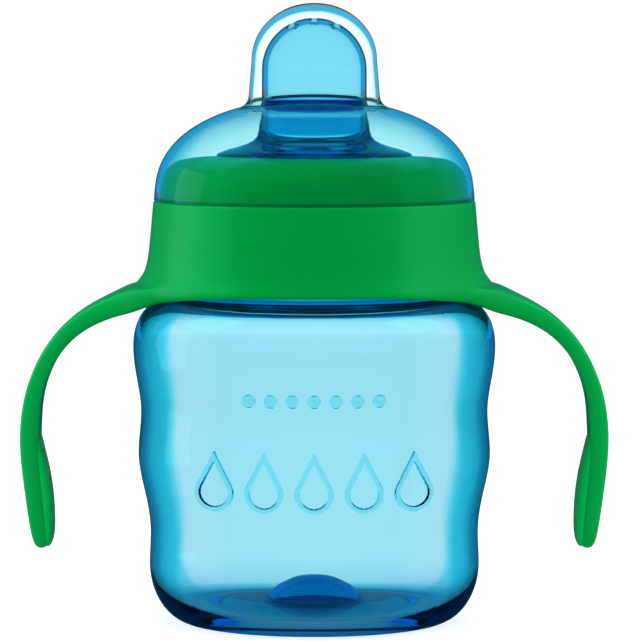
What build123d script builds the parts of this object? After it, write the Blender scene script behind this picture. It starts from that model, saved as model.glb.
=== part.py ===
"""Trainer cup for a toddler: see-through cup, screw-on lid with two handles, hard spout and snap cap.

The cup stands on the XY plane, centred on Z, with its two handles along X and its front towards -Y.
All sizes are in millimetres.
"""

from build123d import *
import os
from math import sqrt

os.makedirs("parts", exist_ok=True)

# ---- Driving dimensions ----

# Cup
BASE_R = 24.0  # outer edge of the ring that the cup stands on
CORNER_R = 9.0  # bottom corner, measured across
CORNER_H = 12.0  # bottom corner, measured up
SIDE_R = BASE_R + CORNER_R
CUP_WALL = 1.1
FLOOR_TOP = 2.5
NECK_R = 27.0
NECK_BORE_R = 25.6
SHOULDER_TOP = 65.6
RIM_TOP = 88.0

# Screw thread: one start, right-handed
THREAD_PITCH = 4.0
THREAD_TURNS = 1.5
THREAD_START = 74.0
THREAD_DEPTH = 1.6
RIDGE_ROOT = 1.9
RIDGE_CREST = 1.0
RIDGE_BURY = 0.25  # how far a ridge's root sits in its wall

# Screw ring
RING_R = 30.8
RING_BORE_R = 29.0
RING_BOTTOM = 68.2
RING_TOP = 93.6
RING_CEILING = 91.2
RING_HOLE_R = 19.8
LEDGE = 84.6  # where the handle collar ends and the cap's rim lands
BEAD_HEIGHT = 80.0
BEAD_PROUD = 0.45
KEY_COUNT = 8
KEY_WIDTH = 2.4
KEY_TOP = 72.0
KEY_R = 31.8

# Handle collar
COLLAR_BORE_R = 31.0
COLLAR_TOP_R = 32.2
LIP_R = 34.4
LIP_FRONT = 66.9  # underside of the lip at the front and back
LIP_SIDE = 64.3  # underside of the lip at the arms
FLANGE_BORE_R = 28.9  # clears the cup's thread, so that the collar lifts off with the ring
KEY_PLAY = 0.15
ARM_DEPTH = 14.0
ARM_ROOT_DEPTH = 24.0
ARM_ROUND = 0.7
PAD_DEPTH = 13.2

# Spout
FLANGE_R = 27.2
FLANGE_BOTTOM = 89.7
FLANGE_TOP = 91.1
BOSS_R = 19.5
BOSS_TOP = 94.4
BOSS_WALL = 1.4
HORN_R = 10.4  # half the width of the mouthpiece
HORN_BORE_R = 9.2
HORN_FLATNESS = 0.55  # depth over width, outside
BORE_FLATNESS = 0.50  # depth over width, inside
ARCH_CENTRE = 110.6
DRINK_HOLE_R = 0.9
DRINK_HOLE_STEP = 4.2
SOCKET_R = 10.6
SOCKET_BORE_R = 9.4
SOCKET_BOTTOM = 85.5

# Valve and seal
VALVE_PLAY = 0.05
MEMBRANE_BOTTOM = 87.6
MEMBRANE_TOP = 89.2
RETAINER_BOTTOM = 83.0
RETAINER_FLANGE_R = 12.0
SEAL_BORE_R = 25.0
SEAL_R = 27.4
SEAL_BOTTOM = 88.1

# Snap cap
CAP_RIM = 84.7
CAP_TOP = 123.9
CAP_WALL = 1.0
TURRET_FOOT_R = 13.6
TURRET_R = 12.5  # half the turret's width where its arch starts
TURRET_ARCH = 112.6
TURRET_FLATNESS = 0.60
TURRET_FOOT_BORE_R = 12.7
TURRET_BORE_R = 11.7
TURRET_BORE_FLATNESS = 0.575
TURRET_CROWN = 1.4  # thickness at the very top
DOME_TOP = 104.9

# Raised decoration on the front of the cup
RELIEF_PROUD = 0.35
RELIEF_LINE = 0.9
DOT_ROW = 47.1
DOT_R = 1.25
DOT_STEP = 4.2
DOT_COUNT = 7
DROP_ROW = 28.9
DROP_R = 3.7
DROP_APEX = 8.2
DROP_STEP = 9.7
DROP_COUNT = 5

# Side of the cup, base corner to shoulder: radius, height
SIDE_POINTS = [
    (SIDE_R, CORNER_H),
    (32.8, 18.9),
    (33.85, 26.0),
    (35.17, 33.4),
    (34.68, 42.9),
    (35.69, 50.1),
    (36.2, 54.9),
    (35.8, 59.0),
    (34.1, 62.5),
    (31.2, 64.8),
    (28.4, SHOULDER_TOP),
]
WAIST = 4  # the side's middle waist, where its outline is upright
SIDE_POINTS_INSIDE = [
    (SIDE_R - CUP_WALL, CORNER_H),
    (32.8 - CUP_WALL, 18.9),
    (33.85 - CUP_WALL, 25.9),
    (35.17 - CUP_WALL, 33.4),
    (34.68 - CUP_WALL, 42.9),
    (35.69 - CUP_WALL, 50.1),
    (36.2 - CUP_WALL, 54.9),
    (34.7, 58.8),
    (33.2, 61.7),
    (30.6, 63.7),
    (28.0, SHOULDER_TOP - 1.2),
]


def thread_ridge(start_height, root_r, crest_r):
    """One helical ridge about Z, from its root radius to its crest radius."""
    half_root = RIDGE_ROOT / 2
    half_crest = RIDGE_CREST / 2
    depth = crest_r - root_r
    with BuildPart() as ridge:
        with BuildLine() as path:
            Helix(THREAD_PITCH, THREAD_PITCH * THREAD_TURNS, root_r, center=(0, 0, start_height))
        start_plane = Plane(origin=path.line @ 0, x_dir=(1, 0, 0), z_dir=path.line % 0)
        with BuildSketch(start_plane):
            with BuildLine():
                Polyline((0, -half_root), (depth, -half_crest), (depth, half_crest), (0, half_root), close=True)
            make_face()
        sweep(is_frenet=True)
    return ridge.part


def turned_solid(radii_and_heights):
    """A straight-sided solid of revolution about Z."""
    with BuildPart() as turned:
        with BuildSketch(Plane.XZ):
            with BuildLine():
                Polyline(*radii_and_heights, close=True)
            make_face()
        revolve(axis=Axis.Z)
    return turned.part


# ---- Cup ----


def cup_side_band(low, high):
    """A skin over the cup's outer wall: its root is buried in the wall and its face stands proud."""
    proud = [(r + RELIEF_PROUD, z) for r, z in SIDE_POINTS[:7]]
    buried = [(r - CUP_WALL / 2, z) for r, z in SIDE_POINTS[:7]]
    with BuildPart() as band:
        with BuildSketch(Plane.XZ):
            with BuildLine():
                Spline(*proud, tangents=[(0, 1), (0, 1)])
                Line(proud[-1], buried[-1])
                Spline(*buried, tangents=[(0, 1), (0, 1)])
                Line(buried[0], proud[0])
            make_face()
        revolve(axis=Axis.Z)
        with Locations((0, 0, low / 2)):
            Box(100, 100, low, mode=Mode.SUBTRACT)
        with Locations((0, 0, (high + 60) / 2)):
            Box(100, 100, 60 - high, mode=Mode.SUBTRACT)
    return band.part


# Bottom: raised centre, with the same recess underneath, and a ring to stand on
with BuildPart() as cup_body:
    with BuildSketch(Plane.XZ):
        with BuildLine():
            Polyline(
                (0, 8.0),
                (3.7, 8.0),
                (8.3, 4.9),
                (11.4, 1.2),
                (19.0, 1.2),
                (21.0, 0),
                (BASE_R, 0),
            )
            EllipticalCenterArc((BASE_R, CORNER_H), CORNER_R, CORNER_H, start_angle=-90, arc_size=90)
            Spline(*SIDE_POINTS[: WAIST + 1], tangents=[(0, 1), (0, 1)])
            Spline(*SIDE_POINTS[WAIST:], tangents=[(0, 1), (-1, 0)])
            Polyline(
                (28.4, SHOULDER_TOP),
                (NECK_R, SHOULDER_TOP + 0.5),
                (NECK_R, RIM_TOP - 0.4),
                (NECK_R - 0.4, RIM_TOP),
                (NECK_BORE_R + 0.4, RIM_TOP),
                (NECK_BORE_R, RIM_TOP - 0.4),
                (NECK_BORE_R, SHOULDER_TOP + 0.4),
                (28.0, SHOULDER_TOP - 1.2),
            )
            Spline(*reversed(SIDE_POINTS_INSIDE[WAIST:]), tangents=[(1, 0), (0, -1)])
            Spline(*reversed(SIDE_POINTS_INSIDE[: WAIST + 1]), tangents=[(0, -1), (0, -1)])
            EllipticalCenterArc(
                (BASE_R, CORNER_H),
                CORNER_R - CUP_WALL,
                CORNER_H - FLOOR_TOP,
                start_angle=0,
                arc_size=-90,
            )
            Polyline((BASE_R, FLOOR_TOP), (12.6, FLOOR_TOP), (9.2, 6.0), (4.4, 9.2), (0, 9.2))
            Line((0, 9.2), (0, 8.0))
        make_face()
    revolve(axis=Axis.Z)
    add(thread_ridge(THREAD_START, NECK_R - RIDGE_BURY, NECK_R + THREAD_DEPTH))

# Front decoration: a row of dots over a row of hollow drops
drop_reach = DROP_R * DROP_R / DROP_APEX
drop_spread = DROP_R * sqrt(1 - (DROP_R / DROP_APEX) ** 2)
with BuildPart() as relief:
    with BuildSketch(Plane.XZ.offset(30)):
        with Locations((0, DOT_ROW)):
            with GridLocations(DOT_STEP, 1, DOT_COUNT, 1):
                Circle(DOT_R)
        with Locations((0, DROP_ROW)):
            with GridLocations(DROP_STEP, 1, DROP_COUNT, 1):
                Circle(DROP_R)
                Polygon((0, DROP_APEX), (-drop_spread, drop_reach), (drop_spread, drop_reach), align=None)
        with Locations((0, DROP_ROW)):
            with GridLocations(DROP_STEP, 1, DROP_COUNT, 1):
                inner_scale = 1 - RELIEF_LINE / DROP_R
                Circle(DROP_R * inner_scale, mode=Mode.SUBTRACT)
                Polygon(
                    (0, DROP_APEX * inner_scale),
                    (-drop_spread * inner_scale, drop_reach * inner_scale),
                    (drop_spread * inner_scale, drop_reach * inner_scale),
                    align=None,
                    mode=Mode.SUBTRACT,
                )
    extrude(amount=-15, both=True)
    add(cup_side_band(20.0, 52.0), mode=Mode.INTERSECT)

with BuildPart() as decorated_cup:
    add(cup_body.part)
    add(relief.part)

decorated_cup.part.label = "cup_body"
export_step(decorated_cup.part, "parts/cup_body.step")

# ---- Screw ring ----

with BuildPart() as screw_ring:
    with BuildSketch(Plane.XZ):
        with BuildLine():
            Polyline(
                (RING_R, 84.6),
                (RING_R, RING_BOTTOM),
                (RING_BORE_R, RING_BOTTOM),
                (RING_BORE_R, 89.6),
            )
            RadiusArc((RING_BORE_R, 89.6), (27.4, RING_CEILING), -1.6)
            Polyline((27.4, RING_CEILING), (RING_HOLE_R, RING_CEILING), (RING_HOLE_R, 93.1), (20.3, RING_TOP))
            Spline(
                (20.3, RING_TOP),
                (23.6, 93.4),
                (27.5, 92.5),
                (29.8, 90.4),
                (30.6, 87.4),
                (RING_R, 84.6),
                tangents=[(1, 0), (0, -1)],
            )
        make_face()
    revolve(axis=Axis.Z)
    # Snap bead that holds the handle collar
    add(
        turned_solid(
            [
                (RING_R - 0.3, BEAD_HEIGHT - 0.8),
                (RING_R + BEAD_PROUD, BEAD_HEIGHT),
                (RING_R - 0.3, BEAD_HEIGHT + 0.8),
            ]
        )
    )
    # Keys that turn the collar with the ring
    key_height = KEY_TOP - RING_BOTTOM
    with Locations((0, 0, (KEY_TOP + RING_BOTTOM) / 2)):
        with PolarLocations((RING_R - 0.4 + KEY_R) / 2, KEY_COUNT):
            Box(KEY_R - RING_R + 0.4, KEY_WIDTH, key_height)
    # The ring's ridge hangs under the cup's, with 0.15 mm between their flanks
    ring_thread_start = THREAD_START - (RIDGE_ROOT + RIDGE_CREST) / 2
    add(thread_ridge(ring_thread_start, RING_BORE_R + RIDGE_BURY, RING_BORE_R - THREAD_DEPTH))
screw_ring.part.label = "screw_ring"
export_step(screw_ring.part, "parts/screw_ring.step")

# ---- Handle collar and arms ----

# Right arm seen from the front: back of the hand side, then the palm side
ARM_OUTSIDE = [
    (32.6, 73.4),
    (34.5, 69.8),
    (38.9, 66.5),
    (46.1, 62.9),
    (52.6, 56.9),
    (56.5, 49.7),
    (58.33, 42.5),
    (58.62, 35.3),
    (57.5, 24.5),
    (56.4, 17.8),
    (55.6, 15.6),
    (54.1, 14.6),
    (52.7, 15.4),
    (52.2, 17.0),
]
ARM_INSIDE = [
    (54.6, 36.3),
    (54.73, 40.7),
    (54.2, 46.1),
    (52.6, 50.9),
    (49.4, 55.7),
    (45.1, 59.3),
    (39.7, 61.7),
    (35.6, 62.9),
    (33.4, 64.0),
]
PAD_SEAT = [(53.7, 17.6), (53.9, 22.0), (54.5, 27.0), (55.05, 32.0), (55.3, 36.3)]
PAD_FACE = [(54.6, 36.3), (53.95, 33.8), (52.9, 29.6), (52.2, 24.0), (52.13, 17.6)]

with BuildPart() as right_arm:
    with BuildSketch(Plane.XZ.offset(-ARM_ROOT_DEPTH / 2)):
        with BuildLine():
            Line((31.6, 73.4), ARM_OUTSIDE[0])
            Spline(*ARM_OUTSIDE)
            Polyline(ARM_OUTSIDE[-1], (52.2, 17.6), PAD_SEAT[0])
            Spline(*PAD_SEAT)
            Line(PAD_SEAT[-1], ARM_INSIDE[0])
            Spline(*ARM_INSIDE)
            Polyline(ARM_INSIDE[-1], (31.6, 66.9), (31.6, 73.4))
        make_face()
    extrude(amount=ARM_ROOT_DEPTH)
    # Seen from above, the arm is wide at the collar and narrows outwards
    with BuildSketch(Plane.XY.offset(10)):
        with BuildLine():
            half_root = ARM_ROOT_DEPTH / 2
            half_arm = ARM_DEPTH / 2
            Line((30.0, 0), (30.0, half_root))
            Spline((30.0, half_root), (38.0, 8.7), (47.0, half_arm), tangents=[(1, -0.55), (1, 0)])
            Line((47.0, half_arm), (62.0, half_arm))
            Line((62.0, half_arm), (62.0, 0))
            mirror(about=Plane.XZ)
        make_face()
    extrude(amount=70, mode=Mode.INTERSECT)
    # Round the two long edges where the fingers go round
    palm_edges = right_arm.edges().filter_by(lambda edge: edge.length > 12 and abs(edge.center().Y) > 1)
    palm_edges = palm_edges.filter_by(lambda edge: edge.center().X > 36 and 45 < edge.center().Z < 65)
    fillet(palm_edges, radius=ARM_ROUND)
    # Keep the arm out of the collar's bore
    with Locations((0, 0, 70)):
        Cylinder(KEY_R + KEY_PLAY, 20, mode=Mode.SUBTRACT)

with BuildPart() as saddle:
    # What is cut away under the lip: low at the arms, high at the front and back
    with BuildSketch(Plane.YZ):
        with BuildLine():
            lip_drop = LIP_FRONT - LIP_SIDE
            lip_curve = [
                (
                    LIP_R * step / 8,
                    LIP_FRONT - lip_drop * (1 - (step / 8) ** 2) ** 1.75,
                )
                for step in range(-8, 9)
            ]
            Spline(*lip_curve)
            Polyline(lip_curve[-1], (40, LIP_FRONT), (40, 55), (-40, 55), (-40, LIP_FRONT), lip_curve[0])
        make_face()
    extrude(amount=40, both=True)

with BuildPart() as collar_skirt:
    with BuildSketch(Plane.XZ):
        with BuildLine():
            Polyline(
                (LIP_R, 67.2),
                (LIP_R, 63.9),
                (33.5, 63.9),
                (31.5, LIP_FRONT),
                (FLANGE_BORE_R, LIP_FRONT),
                (FLANGE_BORE_R, RING_BOTTOM - 0.05),
                (COLLAR_BORE_R, RING_BOTTOM - 0.05),
                (COLLAR_BORE_R, LEDGE),
                (COLLAR_TOP_R - 0.2, LEDGE),
                (COLLAR_TOP_R, LEDGE - 0.2),
            )
            Spline(
                (COLLAR_TOP_R, LEDGE - 0.2),
                (32.6, 79.4),
                (33.05, 74.0),
                (33.6, 70.3),
                (LIP_R, 67.2),
            )
        make_face()
    revolve(axis=Axis.Z)
    add(saddle.part, mode=Mode.SUBTRACT)
    # Groove for the ring's snap bead, and notches for its keys
    groove_reach = BEAD_PROUD + 0.15
    groove = turned_solid(
        [
            (COLLAR_BORE_R - 0.5, BEAD_HEIGHT - 1.2),
            (RING_R + groove_reach, BEAD_HEIGHT),
            (COLLAR_BORE_R - 0.5, BEAD_HEIGHT + 1.2),
        ]
    )
    add(groove, mode=Mode.SUBTRACT)
    notch_r = KEY_R + KEY_PLAY
    notch_top = KEY_TOP + 0.3
    with Locations((0, 0, (notch_top + RING_BOTTOM) / 2)):
        with PolarLocations((notch_r + 30.5) / 2, KEY_COUNT):
            Box(notch_r - 30.5, KEY_WIDTH + 2 * KEY_PLAY, notch_top - RING_BOTTOM + 0.1, mode=Mode.SUBTRACT)

with BuildPart() as handle_collar:
    add(collar_skirt.part)
    add(right_arm.part)
    add(mirror(right_arm.part, about=Plane.YZ))
handle_collar.part.label = "handle_collar"
export_step(handle_collar.part, "parts/handle_collar.step")

# ---- Grip pads, moulded onto the palm side of each arm ----

with BuildPart() as right_grip_pad:
    with BuildSketch(Plane.XZ.offset(-PAD_DEPTH / 2)):
        with BuildLine():
            Spline(*PAD_SEAT)
            Line(PAD_SEAT[-1], PAD_FACE[0])
            Spline(*PAD_FACE)
            Line(PAD_FACE[-1], PAD_SEAT[0])
        make_face()
    extrude(amount=PAD_DEPTH)
right_grip_pad.part.label = "right_grip_pad"
export_step(right_grip_pad.part, "parts/right_grip_pad.step")

left_grip_pad = mirror(right_grip_pad.part, about=Plane.YZ)
left_grip_pad.label = "left_grip_pad"
export_step(left_grip_pad, "parts/left_grip_pad.step")

# ---- Spout ----


def arched_horn(foot_r, side_r, bottom, flatness):
    """An oval tube's outside or bore: a round arch from the front, flattened front to back."""
    with BuildPart() as horn:
        with BuildSketch(Plane.XZ):
            with BuildLine():
                Line((0, bottom), (foot_r, bottom))
                Line((foot_r, bottom), (side_r, bottom + 4.0))
                Line((side_r, bottom + 4.0), (side_r, ARCH_CENTRE))
                CenterArc((0, ARCH_CENTRE), side_r, 0, 90)
                Line((0, ARCH_CENTRE + side_r), (0, bottom))
            make_face()
        revolve(axis=Axis.Z)
        scale(by=(1, flatness, 1))
    return horn.part


with BuildPart() as spout:
    with BuildSketch(Plane.XZ):
        with BuildLine():
            Polyline(
                (BOSS_R - BOSS_WALL, FLANGE_BOTTOM),
                (FLANGE_R, FLANGE_BOTTOM),
                (FLANGE_R, FLANGE_TOP),
                (BOSS_R, FLANGE_TOP),
                (BOSS_R, BOSS_TOP - 0.3),
                (BOSS_R - 0.4, BOSS_TOP),
                (10.0, 97.3),
                (0, 98.6),
                (0, 97.2),
                (10.0, 95.9),
                (BOSS_R - BOSS_WALL, 93.3),
                close=True,
            )
        make_face()
    revolve(axis=Axis.Z)
    # Socket that the valve pushes into from below
    with Locations((0, 0, (SOCKET_BOTTOM + 96.0) / 2)):
        Cylinder(SOCKET_R, 96.0 - SOCKET_BOTTOM)
    add(arched_horn(HORN_R + 0.9, HORN_R, 96.0, HORN_FLATNESS))
    with Locations((0, 0, (SOCKET_BOTTOM + 94.0) / 2)):
        Cylinder(SOCKET_BORE_R, 94.0 - SOCKET_BOTTOM, mode=Mode.SUBTRACT)
    add(arched_horn(HORN_BORE_R, HORN_BORE_R, 93.5, BORE_FLATNESS), mode=Mode.SUBTRACT)
    # Drinking holes in the top of the mouthpiece
    with Locations((0, 0, ARCH_CENTRE + HORN_R)):
        with GridLocations(DRINK_HOLE_STEP, 1, 3, 1):
            Cylinder(DRINK_HOLE_R, 8.0, mode=Mode.SUBTRACT)
spout.part.label = "spout"
export_step(spout.part, "parts/spout.step")

# ---- Silicone seal between the spout's flange and the cup's rim ----

with BuildPart() as rim_seal:
    with BuildSketch(Plane.XZ):
        with BuildLine():
            Polyline(
                (SEAL_BORE_R, FLANGE_BOTTOM),
                (SEAL_BORE_R, SEAL_BOTTOM + 0.3),
                (SEAL_BORE_R + 0.3, SEAL_BOTTOM),
                (SEAL_R - 0.3, SEAL_BOTTOM),
                (SEAL_R, SEAL_BOTTOM + 0.3),
                (SEAL_R, FLANGE_BOTTOM),
                close=True,
            )
        make_face()
    revolve(axis=Axis.Z)
rim_seal.part.label = "rim_seal"
export_step(rim_seal.part, "parts/rim_seal.step")

# ---- Valve: a slit silicone membrane in a plastic retainer ----

valve_r = SOCKET_BORE_R - VALVE_PLAY
with BuildPart() as valve_membrane:
    with BuildSketch(Plane.XZ):
        with BuildLine():
            Polyline(
                (0, 88.4),
                (5.6, 88.0),
                (6.4, MEMBRANE_BOTTOM),
                (valve_r, MEMBRANE_BOTTOM),
                (valve_r, MEMBRANE_TOP),
                (7.4, MEMBRANE_TOP),
                (6.2, 88.7),
                (0, 89.1),
                close=True,
            )
        make_face()
    revolve(axis=Axis.Z)
    # The cross slit that opens when the child sucks
    with Locations((0, 0, 88.5)):
        Box(7.0, 0.3, 3.0, mode=Mode.SUBTRACT)
        Box(0.3, 7.0, 3.0, mode=Mode.SUBTRACT)
valve_membrane.part.label = "valve_membrane"
export_step(valve_membrane.part, "parts/valve_membrane.step")

with BuildPart() as valve_retainer:
    with BuildSketch(Plane.XZ):
        with BuildLine():
            Polyline(
                (7.6, RETAINER_BOTTOM),
                (RETAINER_FLANGE_R, RETAINER_BOTTOM),
                (RETAINER_FLANGE_R, RETAINER_BOTTOM + 1.4),
                (valve_r, RETAINER_BOTTOM + 1.4),
                (valve_r, MEMBRANE_BOTTOM),
                (7.6, MEMBRANE_BOTTOM),
                close=True,
            )
        make_face()
    revolve(axis=Axis.Z)
    # Two crossed bars that stop the membrane from turning inside out
    with Locations((0, 0, RETAINER_BOTTOM + 1.0)):
        Box(16.4, 1.6, 2.0)
        Box(1.6, 16.4, 2.0)
valve_retainer.part.label = "valve_retainer"
export_step(valve_retainer.part, "parts/valve_retainer.step")

# ---- Snap cap: a round dome with a flattened turret over the mouthpiece ----


def cap_dome(points, top):
    """The cap's round dome, closed across its rim."""
    with BuildPart() as dome:
        with BuildSketch(Plane.XZ):
            with BuildLine():
                Line((0, points[0][1]), points[0])
                Spline(*points, tangents=[(0, 1), (-1, 0)])
                Line((0, top), (0, points[0][1]))
            make_face()
        revolve(axis=Axis.Z)
    return dome.part


def cap_turret(foot_r, arch_start_r, arch_start, top, flatness):
    """The turret's outside or inside: nearly upright sides under a round arch."""
    with BuildPart() as turret:
        with BuildSketch(Plane.XZ):
            with BuildLine():
                Line((0, 100.0), (foot_r, 100.0))
                Line((foot_r, 100.0), (arch_start_r, arch_start))
                Spline((arch_start_r, arch_start), (0, top), tangents=[(-0.08, 1), (-1, 0)])
                Line((0, top), (0, 100.0))
            make_face()
        revolve(axis=Axis.Z)
        scale(by=(1, flatness, 1))
    return turret.part


DOME_POINTS = [
    (32.0, CAP_RIM),
    (31.2, 90.5),
    (28.6, 95.3),
    (22.6, 100.1),
    (16.4, 102.7),
    (0, DOME_TOP),
]
DOME_POINTS_INSIDE = [
    (31.1, CAP_RIM),
    (30.3, 90.2),
    (27.8, 94.6),
    (22.0, 99.2),
    (16.1, 101.65),
    (0, DOME_TOP - CAP_WALL),
]

with BuildPart() as snap_cap:
    add(cap_dome(DOME_POINTS, DOME_TOP))
    add(cap_turret(TURRET_FOOT_R, TURRET_R, TURRET_ARCH, CAP_TOP, TURRET_FLATNESS))
    add(cap_dome(DOME_POINTS_INSIDE, DOME_TOP - CAP_WALL), mode=Mode.SUBTRACT)
    crown = CAP_TOP - TURRET_CROWN
    turret_bore = cap_turret(TURRET_FOOT_BORE_R, TURRET_BORE_R, TURRET_ARCH - 0.2, crown, TURRET_BORE_FLATNESS)
    add(turret_bore, mode=Mode.SUBTRACT)
snap_cap.part.label = "snap_cap"
export_step(snap_cap.part, "parts/snap_cap.step")
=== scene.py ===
"""Looks for the trainer cup: clear blue cup, spout and cap, glossy green lid ring and handles.

Outlines are in millimetres, as (radius, height) or (x, height), and become metres when a mesh is made.
The cup's front faces -Y, and its arms reach out along X.
"""

from math import cos, hypot, pi, radians, sin, sqrt

import bmesh
import bpy
import numpy as np
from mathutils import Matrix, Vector


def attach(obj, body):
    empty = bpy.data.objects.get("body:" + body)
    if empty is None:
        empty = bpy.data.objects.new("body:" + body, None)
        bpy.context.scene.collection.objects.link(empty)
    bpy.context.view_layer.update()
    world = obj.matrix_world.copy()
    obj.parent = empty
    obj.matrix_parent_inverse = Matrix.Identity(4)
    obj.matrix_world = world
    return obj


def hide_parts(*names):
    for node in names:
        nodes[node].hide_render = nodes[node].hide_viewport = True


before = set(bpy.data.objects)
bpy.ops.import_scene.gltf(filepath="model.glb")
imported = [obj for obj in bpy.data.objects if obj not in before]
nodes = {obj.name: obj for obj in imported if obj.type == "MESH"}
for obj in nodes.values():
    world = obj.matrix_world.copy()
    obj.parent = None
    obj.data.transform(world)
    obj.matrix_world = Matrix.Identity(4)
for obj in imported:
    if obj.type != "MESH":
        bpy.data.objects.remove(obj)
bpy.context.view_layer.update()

MM = 0.001
SHARP_ANGLE = radians(40)

# ---- Camera ----

CAMERA_DISTANCE = 1.0
CAMERA_HEIGHT = 0.130
AIM = Vector((0.00134, 0.0, 0.0604))
VIEW_WIDTH = 0.1284
SENSOR = 36.0

camera_data = bpy.data.cameras.new("camera")
camera_data.sensor_width = SENSOR
camera = bpy.data.objects.new("camera", camera_data)
bpy.context.scene.collection.objects.link(camera)
camera.location = (AIM.x, -CAMERA_DISTANCE, CAMERA_HEIGHT)
sight = AIM - camera.location
camera_data.lens = SENSOR * sight.length / VIEW_WIDTH
camera_data.clip_start = 0.05
camera_data.clip_end = 20.0
camera.rotation_euler = sight.to_track_quat("-Z", "Y").to_euler()
bpy.context.scene.camera = camera


# ---- Curves and meshes ----


def curve_slopes(given, gaps, start, end):
    """The slope at each given point of the smooth curve through them all."""
    count = len(given)
    system = np.zeros((count, count))
    right = np.zeros((count, given.shape[1]))
    for i in range(1, count - 1):
        before = gaps[i - 1]
        after = gaps[i]
        system[i, i - 1] = after
        system[i, i] = 2 * (before + after)
        system[i, i + 1] = before
        behind = after * (given[i] - given[i - 1]) / before
        ahead = before * (given[i + 1] - given[i]) / after
        right[i] = 3 * (behind + ahead)
    for row, beside, gap, wanted in ((0, 1, gaps[0], start), (count - 1, count - 2, gaps[-1], end)):
        if wanted is None:
            system[row, row] = 2
            system[row, beside] = 1
            right[row] = 3 * (given[max(row, beside)] - given[min(row, beside)]) / gap
        else:
            system[row, row] = 1
            right[row] = np.array(wanted, float) / np.linalg.norm(wanted)
    return np.linalg.solve(system, right)


def curve(points, steps=8, start=None, end=None):
    """Points along a smooth curve through the given ones. start and end are its directions there."""
    given = np.array(points, float)
    gaps = np.linalg.norm(np.diff(given, axis=0), axis=1)
    slopes = curve_slopes(given, gaps, start, end)
    out = []
    for i in range(len(given) - 1):
        for step in range(steps):
            t = step / steps
            a = 2 * t**3 - 3 * t**2 + 1
            b = (t**3 - 2 * t**2 + t) * gaps[i]
            c = 3 * t**2 - 2 * t**3
            d = (t**3 - t**2) * gaps[i]
            out.append(tuple(a * given[i] + b * slopes[i] + c * given[i + 1] + d * slopes[i + 1]))
    out.append(tuple(given[-1]))
    return out


def arc(centre, radius, first, last, steps=8, tall=None):
    """Points on a circle's arc, or an ellipse's if tall gives its half height. Angles are in degrees."""
    tall = radius if tall is None else tall
    out = []
    for step in range(steps + 1):
        angle = radians(first + (last - first) * step / steps)
        out.append((centre[0] + radius * cos(angle), centre[1] + tall * sin(angle)))
    return out


def rounded(corners, steps=4):
    """A run of corners (x, z, radius), where each with a radius becomes a small round. The ends have none."""
    out = []
    for i, (x, z, radius) in enumerate(corners):
        here = np.array((x, z), float)
        if not radius:
            out.append(tuple(here))
            continue
        back = np.array(corners[i - 1][:2], float) - here
        ahead = np.array(corners[i + 1][:2], float) - here
        back_length = np.linalg.norm(back)
        ahead_length = np.linalg.norm(ahead)
        reach = min(radius, 0.45 * back_length, 0.45 * ahead_length)
        first = here + back / back_length * reach
        last = here + ahead / ahead_length * reach
        for step in range(steps + 1):
            t = step / steps
            out.append(tuple((1 - t) ** 2 * first + 2 * t * (1 - t) * here + t**2 * last))
    return out


def add_piece(name, mesh, body, node, material):
    """A smooth-shaded object that rides on a body, stands for one CAD node and has one material."""
    mesh.polygons.foreach_set("use_smooth", [True] * len(mesh.polygons))
    piece = bpy.data.objects.new(name, mesh)
    bpy.context.scene.collection.objects.link(piece)
    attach(piece, body)
    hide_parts(node)
    paint(piece, material)
    return piece


def finish_mesh(name, verts, faces, body, node, material, values=None):
    """A piece from a closed mesh in millimetres. values is a name and one number per vertex."""
    mesh = bpy.data.meshes.new(name)
    mesh.from_pydata([(x * MM, y * MM, z * MM) for x, y, z in verts], [], faces)
    if values:
        layer = mesh.attributes.new(values[0], "FLOAT", "POINT")
        layer.data.foreach_set("value", values[1])
    tidy = bmesh.new()
    tidy.from_mesh(mesh)
    bmesh.ops.remove_doubles(tidy, verts=tidy.verts, dist=1e-7)
    bmesh.ops.recalc_face_normals(tidy, faces=tidy.faces)
    tidy.to_mesh(mesh)
    tidy.free()
    piece = add_piece(name, mesh, body, node, material)
    mesh.set_sharp_from_angle(angle=SHARP_ANGLE)
    return piece


def finish_cage(cage, name, node, material):
    """A smooth piece from a coarse cage in metres, riding on the ring."""
    bmesh.ops.recalc_face_normals(cage, faces=cage.faces)
    mesh = bpy.data.meshes.new(name)
    cage.to_mesh(mesh)
    cage.free()
    piece = add_piece(name, mesh, "ring", node, material)
    smooth = piece.modifiers.new("smooth", "SUBSURF")
    smooth.levels = 2
    smooth.render_levels = 2
    return piece


def grid_faces(rows, columns):
    """Quads over rows of vertices. Each row closes on itself, and the last row joins the first."""
    faces = []
    for row in range(rows):
        here = row * columns
        above = (row + 1) % rows * columns
        for column in range(columns):
            beside = (column + 1) % columns
            faces.append((here + column, here + beside, above + beside, above + column))
    return faces


def turned(outline, columns):
    """Vertices of an outline turned about Z. A third number on a point squeezes its ring front to back."""
    verts = []
    for point in outline:
        squeeze = point[2] if len(point) > 2 else 1.0
        for column in range(columns):
            angle = 2 * pi * column / columns
            verts.append((point[0] * cos(angle), point[0] * squeeze * sin(angle), point[1]))
    return verts


def paint(piece, material):
    """Gives a piece one material."""
    piece.data.materials.clear()
    piece.data.materials.append(material)


# ---- Material helpers ----

# Most of a noise's values lie between these two
NOISE_LOW = 0.35
NOISE_HIGH = 0.65


def new_material(name):
    """A material, its node tree and its main shader."""
    material = bpy.data.materials.new(name)
    material.use_nodes = True
    tree = material.node_tree
    return material, tree, tree.nodes["Principled BSDF"]


def feed(tree, node, inputs):
    """Feeds some of a node's inputs with sockets or plain values."""
    for name, value in inputs.items():
        if isinstance(value, bpy.types.NodeSocket):
            tree.links.new(value, node.inputs[name])
        else:
            node.inputs[name].default_value = value
    return node


def add_node(tree, kind, inputs):
    """A new node with some inputs fed."""
    return feed(tree, tree.nodes.new(kind), inputs)


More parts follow.
